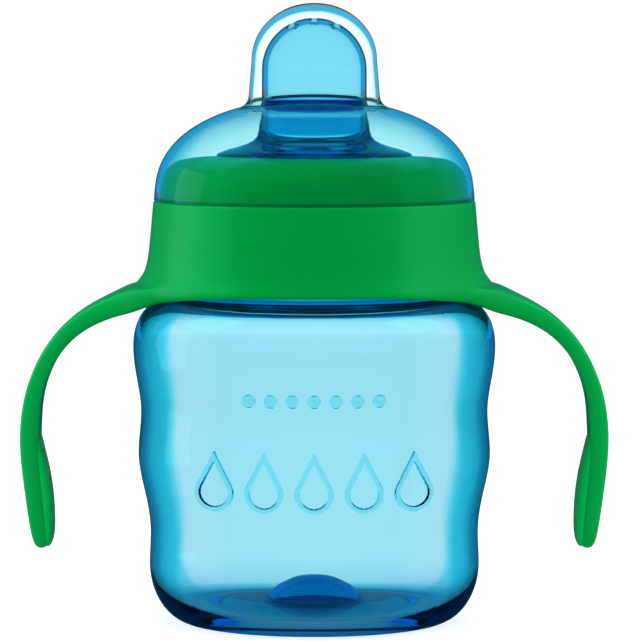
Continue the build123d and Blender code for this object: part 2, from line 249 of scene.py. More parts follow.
def noise_level(tree, place, scale, detail):
    """Noise in the object's own space."""
    inputs = {"Scale": scale, "Detail": detail, "Vector": place.outputs["Object"]}
    return add_node(tree, "ShaderNodeTexNoise", inputs).outputs["Fac"]


def add_bump(tree, shader, scale, strength, distance, detail=3.0):
    """Fine unevenness of a moulded surface. Returns the node with the object's own space."""
    place = tree.nodes.new("ShaderNodeTexCoord")
    height = noise_level(tree, place, scale, detail)
    inputs = {"Strength": strength, "Distance": distance, "Height": height}
    bump = add_node(tree, "ShaderNodeBump", inputs)
    tree.links.new(bump.outputs["Normal"], shader.inputs["Normal"])
    return place


def vary_roughness(tree, shader, place, scale, low, high):
    """Slight wear: the gloss wanders between two roughness values."""
    inputs = {"From Min": NOISE_LOW, "From Max": NOISE_HIGH, "To Min": low, "To Max": high}
    inputs["Value"] = noise_level(tree, place, scale, 4.0)
    span = add_node(tree, "ShaderNodeMapRange", inputs)
    tree.links.new(span.outputs["Result"], shader.inputs["Roughness"])


def vary_colour(tree, shader, place, scale, first, second):
    """Faint blotches between two close colours."""
    fade = tree.nodes.new("ShaderNodeValToRGB")
    fade.color_ramp.elements[0].position = NOISE_LOW
    fade.color_ramp.elements[1].position = NOISE_HIGH
    fade.color_ramp.elements[0].color = (*first, 1)
    fade.color_ramp.elements[1].color = (*second, 1)
    tree.links.new(noise_level(tree, place, scale, 5.0), fade.inputs["Fac"])
    tree.links.new(fade.outputs["Color"], shader.inputs["Base Color"])


def mix_over(tree, shader, factor, colour):
    """Lays a colour over the shader's base colour where factor is 1."""
    under = shader.inputs["Base Color"].links[0].from_socket
    mix = tree.nodes.new("ShaderNodeMix")
    mix.data_type = "RGBA"
    feed(tree, mix, {"Factor": factor, "A": under, "B": (*colour, 1)})
    tree.links.new(mix.outputs["Result"], shader.inputs["Base Color"])


def math_node(tree, operation, first, second=None):
    """A maths node fed by sockets or plain numbers. Returns its output."""
    node = tree.nodes.new("ShaderNodeMath")
    node.operation = operation
    feed(tree, node, {0: first} if second is None else {0: first, 1: second})
    return node.outputs[0]


def ramp(tree, value, low, high, first=0.0, last=1.0):
    """A smooth step from first to last as value goes from low to high."""
    node = tree.nodes.new("ShaderNodeMapRange")
    node.interpolation_type = "SMOOTHSTEP"
    inputs = {"Value": value, "From Min": low, "From Max": high, "To Min": first, "To Max": last}
    return feed(tree, node, inputs).outputs["Result"]


def vector_node(tree, operation, first, second=None):
    """A vector maths node, fed in the same way."""
    node = tree.nodes.new("ShaderNodeVectorMath")
    node.operation = operation
    return feed(tree, node, {0: first} if second is None else {0: first, 1: second})


def size_of(tree, vector):
    """The length of a vector."""
    return vector_node(tree, "LENGTH", vector).outputs["Value"]


def agreement(tree, first, second):
    """The size of two vectors' dot product: how nearly they lie along one line."""
    dot = vector_node(tree, "DOT_PRODUCT", first, second)
    return math_node(tree, "ABSOLUTE", dot.outputs["Value"])


def axes_of(tree, place):
    """The object's own x, y and z."""
    split = add_node(tree, "ShaderNodeSeparateXYZ", {0: place.outputs["Object"]})
    return split.outputs["X"], split.outputs["Y"], split.outputs["Z"]


# ---- Clear plastic ----

CLEAR_SHINE = (0.35, 0.75, 1.0, 1)
# painted highlight: the facings between which the cup's colour is painted lighter
PAINTED_HIGHLIGHT_FACING = (0.62, 0.92)  # between the middle of the cup and its outline


def level_facing(tree, geometry):
    """How squarely an upright wall faces the eye, measured level: 1 head on, 0 at its outline.

    Also how upright both the wall and the view are, from 0 to 1.
    """
    flats = []
    for name in ("Incoming", "Normal"):
        flat = vector_node(tree, "MULTIPLY", geometry.outputs[name], (1, 1, 0))
        flats.append(flat.outputs["Vector"])
    upright = math_node(tree, "MULTIPLY", size_of(tree, flats[0]), size_of(tree, flats[1]))
    upright = math_node(tree, "MAXIMUM", upright, 0.001)
    return math_node(tree, "DIVIDE", agreement(tree, *flats), upright), upright


def height_bands(tree, place, bands, sideways):
    """Extra depth of colour in bands (low, high, fade, extra, reach), in mm.

    The reach is measured from the axis, or only sideways.
    """
    x, y, z = axes_of(tree, place)
    across = math_node(tree, "MULTIPLY", x, x)
    if not sideways:
        across = math_node(tree, "ADD", across, math_node(tree, "MULTIPLY", y, y))
    radius = math_node(tree, "SQRT", across)
    total = 0.0
    for low, high, fade, extra, reach in bands:
        up = ramp(tree, z, (low - fade) * MM, low * MM, 0.0, extra)
        down = ramp(tree, z, high * MM, (high + fade) * MM, 1.0, 0.0)
        near = ramp(tree, radius, reach * MM, (reach + 1.0) * MM, 1.0, 0.0)
        band = math_node(tree, "MULTIPLY", math_node(tree, "MULTIPLY", up, down), near)
        total = math_node(tree, "ADD", total, band)
    return total


def relief_depth_and_painted_outline(tree, face, flank):
    """Extra depth of colour on the raised decoration: some on its faces, and more on its flanks as a painted
    dark outline, painted shade.
    """
    raised = tree.nodes.new("ShaderNodeAttribute")
    raised.attribute_name = "raised"
    up = raised.outputs["Fac"]
    down = math_node(tree, "SUBTRACT", 1.0, up)
    slope = math_node(tree, "MULTIPLY", math_node(tree, "MULTIPLY", up, down), 4 * flank)
    return math_node(tree, "ADD", math_node(tree, "MULTIPLY", up, face), slope)


def painted_slant_shade(tree, geometry, look):
    """Painted shade: extra depth of colour that grows as any wall turns away from the eye."""
    facing = agreement(tree, geometry.outputs["Incoming"], geometry.outputs["Normal"])
    facing = math_node(tree, "MAXIMUM", facing, look["least"])
    depth = math_node(tree, "SUBTRACT", math_node(tree, "DIVIDE", 1.0, facing), 1.0)
    depth = math_node(tree, "MAXIMUM", depth, 0.0)
    depth = math_node(tree, "POWER", depth, look["power"])
    return math_node(tree, "MULTIPLY", depth, look["slant"])


def painted_outline_and_highlight(tree, geometry, place, look):
    """Painted shade and highlight: extra depth of colour at the outline of upright walls, below the height
    where it fades out, and the look's lift between the middle and the outline, which as a negative lift is a
    painted highlight band.
    """
    level, upright = level_facing(tree, geometry)
    height = axes_of(tree, place)[2]
    rim = ramp(tree, level, *look["rim_facing"], look["rim"], 0.0)
    rim = math_node(tree, "MULTIPLY", rim, ramp(tree, height, *look["rim_top"], 1.0, 0.0))
    rim = math_node(tree, "ADD", rim, ramp(tree, level, *PAINTED_HIGHLIGHT_FACING, look["lift"], 0.0))
    return math_node(tree, "MULTIPLY", rim, upright)


def clear_tint_and_painted_shade(tree, shader, place, look):
    """The colour of clear plastic, deeper in thick places, with painted shade where a wall is seen edge on, a
    painted dark outline and highlight band on upright walls, painted dark lines at some heights and painted
    dark outlines on the raised decoration.

    The colour left is the look's tint to the power of that depth.
    """
    geometry = tree.nodes.new("ShaderNodeNewGeometry")
    depth = painted_slant_shade(tree, geometry, look)
    depth = math_node(tree, "ADD", depth, height_bands(tree, place, look["bands"], look["sideways"]))
    if look["rim"]:
        depth = math_node(tree, "ADD", depth, painted_outline_and_highlight(tree, geometry, place, look))
    if look["face"]:
        depth = math_node(tree, "ADD", depth, relief_depth_and_painted_outline(tree, look["face"], look["flank"]))
    colour = tree.nodes.new("ShaderNodeCombineColor")
    for channel in range(3):
        left = math_node(tree, "POWER", look["tint"][channel], depth)
        tree.links.new(left, colour.inputs[channel])
    tree.links.new(colour.outputs["Color"], shader.inputs["Base Color"])


def let_lamps_through(tree, shader, shadow):
    """Shadow rays cross the plastic and only take its shadow colour."""
    path = tree.nodes.new("ShaderNodeLightPath")
    through = add_node(tree, "ShaderNodeBsdfTransparent", {"Color": (*shadow, 1)})
    inputs = {"Fac": path.outputs["Is Shadow Ray"], 1: shader.outputs["BSDF"], 2: through.outputs["BSDF"]}
    mix = add_node(tree, "ShaderNodeMixShader", inputs)
    tree.links.new(mix.outputs["Shader"], tree.nodes["Material Output"].inputs["Surface"])


def clear_plastic(name, density, absorbed, shadow, look):
    """Clear moulded plastic. Its colour comes from its thickness and from the look's tint, which adds painted
    shade and a painted highlight by how each wall faces the eye.
    """
    material, tree, shader = new_material(name)
    feed(tree, shader, {"IOR": look["ior"], "Specular Tint": CLEAR_SHINE, "Transmission Weight": 1.0})
    place = add_bump(tree, shader, 60.0, 0.06, 0.0004)
    vary_roughness(tree, shader, place, 25.0, 0.01, 0.03)
    clear_tint_and_painted_shade(tree, shader, place, look)
    absorb = add_node(tree, "ShaderNodeVolumeAbsorption", {"Color": (*absorbed, 1), "Density": density})
    tree.links.new(absorb.outputs["Volume"], tree.nodes["Material Output"].inputs["Volume"])
    let_lamps_through(tree, shader, shadow)
    return material


# A look holds:
#   ior              how strongly the plastic bends and reflects light
#   tint             the colour left by one unit of depth
#   least, power, slant   the smallest facing that counts, and how fast the painted shade deepens as a wall turns away
#   rim, rim_facing, rim_top   the depth of the painted dark outline, the facings it fades between, the heights it ends at
#   lift             what is added to the depth between the middle and the outline; a negative lift is a painted highlight band
#   face, flank      the depth on raised decoration and on its flanks; the flanks' depth is a painted dark outline
#   bands, sideways  thick places and narrow painted dark lines, as height_bands takes them
CUP_LOOK = {
    "ior": 1.46,
    "tint": (0.368, 0.887, 0.944),
    "least": 0.2,
    "power": 2.4,
    "slant": 0.13,
    "rim": 2.6,
    "rim_facing": (0.50, 0.60),
    "rim_top": (0.20, 0.21),
    "lift": -0.26,
    "face": 1.0,
    "flank": 0.6,
    "sideways": False,
    "bands": [
        (-3.0, 95.0, 1.0, 0.29, 40.0),
        (-1.0, 2.5, 1.0, 1.1, 40.0),
        # the bump in the floor and its top are painted darker: painted shade
        (1.0, 9.5, 0.5, 6.0, 10.5),
        (8.4, 9.6, 0.6, 3.0, 5.0),
        (63.8, 67.5, 1.0, 0.5, 40.0),
        # a painted dark line under the lip: painted shade
        (65.0, 66.0, 0.3, 14.0, 40.0),
    ],
}
SPOUT_LOOK = {
    "ior": 1.46,
    "tint": (0.368, 0.84, 0.93),
    "least": 0.12,
    "power": 1.6,
    "slant": 0.08,
    "rim": 0,
    "face": 0,
    "flank": 0,
    "sideways": True,
    "bands": [
        (96.5, 125.0, 1.5, 0.55, 40.0),
        # a painted dark line where the spout meets the ring: painted shade
        (93.4, 93.9, 0.3, 5.0, 40.0),
        (98.0, 101.0, 0.6, 2.3, 40.0),
    ],
}
CAP_LOOK = {
    "ior": 1.28,
    "tint": (0.368, 0.84, 0.945),
    "least": 0.12,
    "power": 1.3,
    "slant": 0.09,
    "rim": 1.2,
    "rim_facing": (0.38, 0.54),
    "rim_top": (0.096, 0.101),
    "lift": 0.0,
    "face": 0,
    "flank": 0,
    "sideways": True,
    "bands": [
        (80.0, 101.8, 1.2, 0.4, 40.0),
        # painted dark lines at the cap's rim and at the turret's foot: painted shade
        (84.6, 85.0, 0.4, 2.0, 40.0),
        (103.2, 104.3, 0.5, 26.0, 9.0),
    ],
}


# ---- Green plastic and silicone ----

# where, and to which green, the arms are painted lighter: a painted highlight
ARM_LIGHT_START = 0.034
ARM_LIGHT_FULL = 0.046
ARM_PAINTED_LIGHT_GREEN = (0.002, 0.47, 0.075)


def green_gloss(name, blue):
    """Glossy moulded green. The arms are painted lighter, a painted highlight for the brighter light on them.
    """
    material, tree, shader = new_material(name)
    place = add_bump(tree, shader, 90.0, 0.05, 0.0004)
    vary_colour(tree, shader, place, 18.0, (0.0, 0.375, blue), (0.0, 0.395, 1.12 * blue))
    away = math_node(tree, "ABSOLUTE", axes_of(tree, place)[0])
    mix_over(tree, shader, ramp(tree, away, ARM_LIGHT_START, ARM_LIGHT_FULL), ARM_PAINTED_LIGHT_GREEN)
    vary_roughness(tree, shader, place, 35.0, 0.26, 0.32)
    feed(tree, shader, {"IOR": 1.5, "Specular IOR Level": 0.45, "Specular Tint": (0.02, 1.0, 0.55, 1)})
    return material


def green_grip():
    """The pads' softer green, with a fine grain."""
    material, tree, shader = new_material("green_soft_grip")
    place = add_bump(tree, shader, 900.0, 0.35, 0.0003, detail=2.0)
    vary_colour(tree, shader, place, 60.0, (0.002, 0.54, 0.085), (0.002, 0.58, 0.095))
    vary_roughness(tree, shader, place, 120.0, 0.5, 0.6)
    shader.inputs["Specular Tint"].default_value = (0.02, 1.0, 0.6, 1)
    return material


def white_silicone():
    """Slightly milky silicone, for the rim seal and the valve's membrane."""
    material, tree, shader = new_material("white_silicone")
    place = add_bump(tree, shader, 250.0, 0.12, 0.0003)
    vary_colour(tree, shader, place, 40.0, (0.78, 0.84, 0.86), (0.84, 0.89, 0.91))
    vary_roughness(tree, shader, place, 60.0, 0.38, 0.48)
    shader.inputs["Transmission Weight"].default_value = 0.25
    return material


CUP_PLASTIC = clear_plastic("cup_clear_blue", 250.0, (0.0, 0.73, 0.995), (0.45, 0.7, 0.8), CUP_LOOK)
SPOUT_PLASTIC = clear_plastic("spout_clear_blue", 200.0, (0.0, 0.72, 0.96), (0.5, 0.75, 0.85), SPOUT_LOOK)
CAP_PLASTIC = clear_plastic("cap_clear_blue", 60.0, (0.04, 0.80, 0.95), (0.88, 0.97, 0.96), CAP_LOOK)
GREEN_PLASTIC = green_gloss("green_plastic", 0.05)
RING_PLASTIC = green_gloss("green_ring_plastic", 0.022)
GREEN_GRIP = green_grip()
SILICONE = white_silicone()

# ---- Cup ----

BASE_R = 24.0
CORNER_R = 9.0
CORNER_H = 12.0
CUP_WALL = 1.1
FLOOR_TOP = 2.5
SHOULDER_TOP = 65.6
RIM_TOP = 88.0
NECK_R = 27.0
NECK_BORE_R = 25.6
NECK_FOOT_R = 28.4
INNER_FOOT_R = 28.0
SHOULDER_WAY = (-1, 0.05)
SIDE = [
    (33.0, CORNER_H),
    (32.8, 18.9),
    (33.85, 26.0),
    (35.17, 33.4),
    (34.68, 42.9),
    (35.69, 50.1),
    (36.2, 54.9),
    (35.8, 59.0),
    (34.1, 62.5),
    (31.2, 64.8),
    (NECK_FOOT_R, SHOULDER_TOP),
]
SIDE_INSIDE = [
    (33.0 - CUP_WALL, CORNER_H),
    (32.8 - CUP_WALL, 18.9),
    (33.85 - CUP_WALL, 25.9),
    (35.17 - CUP_WALL, 33.4),
    (34.68 - CUP_WALL, 42.9),
    (35.69 - CUP_WALL, 50.1),
    (36.2 - CUP_WALL, 54.9),
    (34.7, 58.8),
    (33.2, 61.7),
    (30.6, 63.7),
    (INNER_FOOT_R, SHOULDER_TOP - 1.2),
]

# The decoration: a row of dots above a row of drop outlines
RELIEF_PROUD = 0.35
RELIEF_LINE = 0.9
DOT_ROW = 47.1
DOT_R = 1.25
DOT_STEP = 4.2
DOTS = 7
DROP_ROW = 28.9
DROP_R = 3.7
DROP_APEX = 8.2
DROP_STEP = 9.7
DROPS = 5
RELIEF_LOW = 23.0
RELIEF_HIGH = 50.0
RELIEF_HALF = 25.5
FINE_TOP = 59.0  # the side is measured finely up to here

# Columns: close together across the decoration, wider elsewhere
FRONT_HALF_ANGLE = radians(50)
FRONT_R = 35.0
REST_COLUMNS = 130


def drop_distance(x, z):
    """Distance from a point to the outline of a drop: a circle with a pointed top. Negative inside."""
    reach = DROP_R * DROP_R / DROP_APEX
    spread = DROP_R * sqrt(1 - (DROP_R / DROP_APEX) ** 2)
    x = abs(x)
    along = np.array((0 - spread, DROP_APEX - reach))
    length = np.linalg.norm(along)
    along = along / length
    rel = np.array((x - spread, z - reach))
    t = rel @ along
    if t <= 0:
        return hypot(x, z) - DROP_R
    if t >= length:
        return hypot(x, z - DROP_APEX)
    return float(rel[0] * along[1] - rel[1] * along[0])


def soft_step(inside, edge=0.09):
    """0 outside, 1 inside, with a rounded flank about the edge."""
    t = min(max((inside + edge) / (2 * edge), 0.0), 1.0)
    return t * t * (3 - 2 * t)


def relief_height(x, z):
    """How far the front decoration stands out of the cup's side at (x, z), seen from the front."""
    height = 0.0
    column = round(x / DOT_STEP)
    if abs(column) <= DOTS // 2:
        away = hypot(x - column * DOT_STEP, z - DOT_ROW)
        height = max(height, soft_step(DOT_R - away))
    column = round(x / DROP_STEP)
    if abs(column) <= DROPS // 2:
        away = drop_distance(x - column * DROP_STEP, z - DROP_ROW)
        height = max(height, soft_step(RELIEF_LINE / 2 - abs(away + RELIEF_LINE / 2)))
    return RELIEF_PROUD * height


def cup_outline():
    """The cup's outline in runs: under its floor, corner, side, neck, inside, inner corner, floor."""
    under = arc((0, 1.2), 8.6, 90, 8, steps=14, tall=6.8)
    under += [(8.75, 1.6)]
    under += rounded([(9.4, 1.2, 0), (19.0, 1.2, 1.0), (21.0, 0, 0.6), (BASE_R, 0, 0)])
    corner = arc((BASE_R, CORNER_H), CORNER_R, -90, 0, steps=14, tall=CORNER_H)
    side = curve(SIDE, steps=6, start=(0, 1), end=SHOULDER_WAY)
    neck = rounded(
        [
            (NECK_FOOT_R, SHOULDER_TOP, 0),
            (NECK_R, SHOULDER_TOP + 0.3, 1.0),
            (NECK_R, RIM_TOP, 0.5),
            (NECK_BORE_R, RIM_TOP, 0.5),
            (NECK_BORE_R, SHOULDER_TOP - 0.6, 1.4),
            (INNER_FOOT_R, SHOULDER_TOP - 1.2, 0),
        ]
    )
    inside = curve(SIDE_INSIDE, steps=5, start=(0, 1), end=(-1, 0))[::-1]
    inner_r = CORNER_R - CUP_WALL
    inner_corner = arc((BASE_R, CORNER_H), inner_r, 0, -90, steps=12, tall=CORNER_H - FLOOR_TOP)
    floor = [(BASE_R, FLOOR_TOP), (11.2, FLOOR_TOP), (10.3, 2.7), (9.7, 3.2)]
    floor += arc((0, FLOOR_TOP), 9.6, 12, 90, steps=14, tall=6.9)
    return under[:-1], corner[:-1], side, neck[1:-1], inside, inner_corner[1:], floor[1:]


def relief_side(side, step):
    """The side's points, with close rows at the heights of the decoration."""
    fine = curve(SIDE, steps=40, start=(0, 1), end=SHOULDER_WAY)
    fine = [point for point in fine if point[1] < FINE_TOP]
    radii = [r for r, _ in fine]
    heights = [z for _, z in fine]
    rows = [point for point in side if point[1] < RELIEF_LOW]
    count = int((RELIEF_HIGH - RELIEF_LOW) / step)
    for i in range(count + 1):
        z = RELIEF_LOW + (RELIEF_HIGH - RELIEF_LOW) * i / count
        rows.append((float(np.interp(z, heights, radii)), z))
    rows += [point for point in side if point[1] > RELIEF_HIGH]
    return rows


def cup_angles(step):
    """The direction of each column of the cup."""
    half = FRONT_HALF_ANGLE
    front = int(2 * half * FRONT_R / step)
    angles = [-pi / 2 - half + 2 * half * i / front for i in range(front)]
    angles += [-pi / 2 + half + (2 * pi - 2 * half) * i / REST_COLUMNS for i in range(REST_COLUMNS)]
    return angles


def cup_verts(outline, angles, relief_rows):
    """The cup's vertices, and how far the decoration raises each one, from 0 to 1."""
    verts = []
    lifts = []
    for row, (radius, height) in enumerate(outline):
        raised = row in relief_rows and RELIEF_LOW <= height <= RELIEF_HIGH
        for angle in angles:
            lift = 0.0
            if raised and sin(angle) < 0 and abs(radius * cos(angle)) < RELIEF_HALF:
                lift = relief_height(radius * cos(angle), height)
            r = radius + lift / max(-sin(angle), 0.5)
            verts.append((r * cos(angle), r * sin(angle), height))
            lifts.append(lift / RELIEF_PROUD)
    return verts, lifts


def build_cup():
    """The cup with its neck, thread and decoration."""
    under, corner, side, neck, inside, inner_corner, floor = cup_outline()
    step = 0.15
    rows = relief_side(side, step)
    outline = under + corner + rows + neck + inside + inner_corner + floor
    first = len(under) + len(corner)
    angles = cup_angles(step)
    verts, lifts = cup_verts(outline, angles, range(first, first + len(rows)))
    faces = grid_faces(len(outline), len(angles))
    verts, faces = with_thread(verts, faces, THREAD_START, NECK_R, THREAD_CREST_R)
    lifts += [0.0] * (len(verts) - len(lifts))
    values = ("raised", lifts)
    return finish_mesh("cup_shell", verts, faces, "cup", "cup_body", CUP_PLASTIC, values)


THREAD_PITCH = 4.0
THREAD_TURNS = 1.5
THREAD_START = 74.0
THREAD_CREST_R = 28.6
THREAD_COLUMNS = 48  # in one turn
THREAD_TAPER = 4  # columns at each end


def helix_ridge(start, wall_r, crest_r):
    """A helical ridge as its own closed strip of faces: root, flanks and crest, tapered at both ends."""
    half_root = 0.95
    half_crest = 0.5
    section = [(0, -half_root), (0.86, -half_crest - 0.1), (1, -half_crest + 0.2)]
    section += [(1, half_crest - 0.2), (0.86, half_crest + 0.1), (0, half_root)]
    stations = int(THREAD_COLUMNS * THREAD_TURNS)
    verts = []
    for i in range(stations + 1):
        turn = 2 * pi * THREAD_TURNS * i / stations
        height = start + THREAD_PITCH * THREAD_TURNS * i / stations
        fade = min(1.0, i / THREAD_TAPER, (stations - i) / THREAD_TAPER) ** 0.5
        for out, up in section:
            depth = (crest_r - wall_r) * (fade * out if out else -0.12)
            r = wall_r + depth
            verts.append((r * cos(turn), r * sin(turn), height + up * (0.5 + 0.5 * fade)))
    width = len(section)
    faces = []
    for i in range(stations):
        for j in range(width):
            k = (j + 1) % width
            faces.append((i * width + j, i * width + k, (i + 1) * width + k, (i + 1) * width + j))
    faces.append(tuple(range(width)))
    faces.append(tuple(stations * width + j for j in range(width)))
    return verts, faces


def with_thread(verts, faces, start, wall_r, crest_r):
    """Adds a thread ridge to a mesh."""
    more, extra = helix_ridge(start, wall_r, crest_r)
    base = len(verts)
    return verts + more, faces + [tuple(base + i for i in face) for face in extra]


build_cup()


# ---- Screw ring ----

RING_R = 30.8
RING_BORE_R = 29.0
RING_BOTTOM = 68.2
RING_CEILING = 91.2
RING_HOLE_R = 19.8
RING_TOP = 93.6
RING_THREAD_CREST_R = 27.4
RING_THREAD_DROP = 1.45  # puts the ring's thread midway between the turns of the cup's
RING_COLUMNS = 192


def build_ring():
    """The screw ring: a dome with a hole for the spout, and a threaded skirt."""
    dome = [(20.6, RING_TOP), (23.6, 93.4), (27.5, 92.5), (29.8, 90.4), (30.6, 87.4), (RING_R, 84.6)]
    outline = curve(dome, steps=8, start=(1, 0), end=(0, -1))
    outline += rounded(
        [
            (RING_R, 80.0, 0),
            (RING_R, RING_BOTTOM, 0.5),
            (RING_BORE_R, RING_BOTTOM, 0.5),
            (RING_BORE_R, 88.0, 0),
        ]
    )
    outline += arc((27.4, 89.6), 1.6, 0, 90, steps=6)
    hole = rounded(
        [
            (24.0, RING_CEILING, 0),
            (RING_HOLE_R, RING_CEILING, 0.4),
            (RING_HOLE_R, RING_TOP, 0.9),
            (20.6, RING_TOP, 0),
        ]
    )
    outline += hole[:-1]
    verts = turned(outline, RING_COLUMNS)
    faces = grid_faces(len(outline), RING_COLUMNS)
    start = THREAD_START - RING_THREAD_DROP
    verts, faces = with_thread(verts, faces, start, RING_BORE_R, RING_THREAD_CREST_R)
    return finish_mesh("lid_ring", verts, faces, "ring", "screw_ring", RING_PLASTIC)


build_ring()


# ---- Handle collar ----

LEDGE = 84.6
LIP_R = 34.4
LIP_FRONT = 66.9
LIP_SIDE = 64.3
COLLAR_BORE_R = 31.0
FLANGE_BORE_R = 28.9
COLLAR_COLUMNS = 64
LIP_ROW = 8  # the row of faces between the lip's top edge and its bottom edge
ROOT_FACES = 10  # across an arm
ARM_CROWN = 0.22

# Stations along an arm: outer (x, z), inner (x, z), half width
ARM_STATIONS = [
    ((36.6, 67.6), (35.7, 62.85), 12.6),
    ((39.0, 66.45), (38.0, 62.2), 10.4),
    ((42.3, 64.95), (40.9, 61.3), 8.6),
    ((46.1, 62.9), (44.1, 59.85), 7.5),
    ((49.3, 60.45), (46.9, 58.1), 7.05),
    ((52.1, 57.5), (49.3, 55.85), 7.0),
    ((54.4, 54.2), (51.3, 53.2), 7.0),
    ((56.1, 50.7), (52.8, 50.3), 7.0),
    ((57.4, 47.0), (54.0, 47.0), 7.0),
    ((58.2, 43.2), (54.65, 43.3), 7.0),
    ((58.62, 39.2), (54.85, 39.3), 7.0),
    ((58.63, 35.2), (55.0, 35.2), 7.0),
    ((58.25, 31.0), (54.8, 31.0), 7.0),
    ((57.7, 26.6), (54.4, 26.6), 7.0),
    ((57.1, 22.2), (53.9, 22.2), 6.9),
    ((56.5, 18.4), (53.3, 18.4), 6.6),
    ((56.0, 16.3), (52.9, 16.6), 6.0),
    ((55.1, 15.1), (53.4, 15.4), 5.0),
]


def lip_bottom(angle):
    """Height of the lip's underside: low at the arms, high at the front and back."""
    return LIP_FRONT - (LIP_FRONT - LIP_SIDE) * abs(cos(angle)) ** 3.5


def collar_profile(angle):
    """Rows of (radius, height) down the collar's outside, under the lip and up the bore, at one angle."""
    arm = max(0.0, abs(cos(angle))) ** 5
    flare = [
        (32.2, LEDGE),
        (32.25, 84.0),
        (32.55, 80.5),
        (32.85, 77.0),
        (33.1 + 0.05 * arm, 74.0),
        (33.3 + 0.25 * arm, 72.0 - 0.1 * arm),
        (33.55 + 0.6 * arm, 70.4 - 0.4 * arm),
        (33.95 + 1.3 * arm, 68.8 - 0.1 * arm),
    ]
    bottom = lip_bottom(angle)
    top = 67.75 * (1 - arm) + 68.1 * arm
    flare.append((LIP_R + 1.2 * arm, top))
    flare.append((34.45 + 0.3 * arm, bottom + 0.2 - 0.9 * arm))
    flare += [
        (33.6, bottom - 0.25 * (1 - arm)),
        (32.7, bottom + 1.0 * (1 - arm) * 0.3 + 0.9 * arm),
        (31.4, LIP_FRONT),
        (FLANGE_BORE_R + 0.2, LIP_FRONT),
        (FLANGE_BORE_R, LIP_FRONT + 0.4),
        (FLANGE_BORE_R + 0.2, RING_BOTTOM - 0.1),
        (COLLAR_BORE_R - 0.2, RING_BOTTOM - 0.1),
        (COLLAR_BORE_R, RING_BOTTOM + 0.5),
        (COLLAR_BORE_R, 76.0),
        (COLLAR_BORE_R, LEDGE - 0.3),
        (COLLAR_BORE_R + 0.15, LEDGE),
    ]
    return flare


def near_arm(column):
    """Whether an arm grows out of the lip at this column."""
    half = ROOT_FACES // 2
    opposite = COLLAR_COLUMNS // 2
    for middle in (0, opposite):
        offset = (column - middle + opposite) % COLLAR_COLUMNS - opposite
        if -half <= offset < half:
            return True
    return False


def add_skirt(shell):
    """Adds the skirt, with gaps in its lip where the arms grow out. Returns its columns of vertices."""
    rings = []
    for column in range(COLLAR_COLUMNS):
        angle = 2 * pi * column / COLLAR_COLUMNS
        ring = []
        for radius, height in collar_profile(angle):
            ring.append(shell.verts.new((radius * cos(angle) * MM, radius * sin(angle) * MM, height * MM)))
        rings.append(ring)
    rows = len(rings[0])
    for column in range(COLLAR_COLUMNS):
        here = rings[column]
        beside = rings[(column + 1) % COLLAR_COLUMNS]
        for row in range(rows):
            below = (row + 1) % rows
            if row == LIP_ROW and near_arm(column):
                continue
            shell.faces.new((here[row], beside[row], beside[below], here[below]))
    return rings


def arm_rows(shell, side, outer, inner, width):
    """One station's vertices: a slightly crowned row on the arm's outer face and a row on its inner face."""
    top = []
    bottom = []
    for i in range(ROOT_FACES + 1):
        across = -1 + 2 * i / ROOT_FACES
        spread = sin(across * pi / 2) * 0.35 + across * 0.65
        crown = ARM_CROWN * (1 - spread**2)
        x = side * (outer[0] + crown * 0.5)
        y = spread * width
        top.append(shell.verts.new((x * MM, y * MM, (outer[1] + crown * 0.2) * MM)))
        bottom.append(shell.verts.new((side * inner[0] * MM, y * MM, inner[1] * MM)))
    return top, bottom


def add_arm(shell, rings, side):
    """Grows an arm out of the lip's gap on one side, station by station, and closes its tip."""
    half = ROOT_FACES // 2
    middle = 0 if side == 1 else COLLAR_COLUMNS // 2
    columns = [(middle + side * i) % COLLAR_COLUMNS for i in range(-half, half + 1)]
    top = [rings[c][LIP_ROW] for c in columns]
    bottom = [rings[c][LIP_ROW + 1] for c in columns]
    for station in ARM_STATIONS:
        new_top, new_bottom = arm_rows(shell, side, *station)
        for i in range(ROOT_FACES):
            shell.faces.new((top[i], top[i + 1], new_top[i + 1], new_top[i]))
            shell.faces.new((bottom[i + 1], bottom[i], new_bottom[i], new_bottom[i + 1]))
        shell.faces.new((top[0], new_top[0], new_bottom[0], bottom[0]))
        shell.faces.new((new_top[-1], top[-1], bottom[-1], new_bottom[-1]))
        top, bottom = new_top, new_bottom
    for i in range(ROOT_FACES):
        shell.faces.new((top[i], top[i + 1], bottom[i + 1], bottom[i]))


def build_collar():
    """The skirt and both arms, as one moulding."""
    shell = bmesh.new()
    rings = add_skirt(shell)
    add_arm(shell, rings, 1)
    add_arm(shell, rings, -1)
    return finish_cage(shell, "handle_shell", "handle_collar", GREEN_PLASTIC)


build_collar()


# ---- Grip pads ----

# Palm face of the pad (x, z) and the arm's face behind it, from the top end to the tip
PAD_STATIONS = [
    ((54.75, 37.6), (55.3, 37.4), 5.2),
    ((54.4, 36.2), (55.5, 36.0), 6.3),
    ((53.95, 34.0), (55.4, 33.8), 6.75),
    ((53.1, 30.6), (55.1, 30.6), 6.85),
    ((52.55, 27.2), (54.8, 27.2), 6.85),
    ((52.2, 23.8), (54.4, 23.8), 6.85),
    ((52.08, 20.6), (54.0, 20.6), 6.8),
    ((52.1, 18.0), (53.7, 18.0), 6.6),
    ((52.4, 16.2), (53.6, 16.4), 5.9),
    ((52.9, 15.4), (53.6, 15.7), 4.6),
]
PAD_FACES = 8  # across a pad
PAD_SAG = 0.25


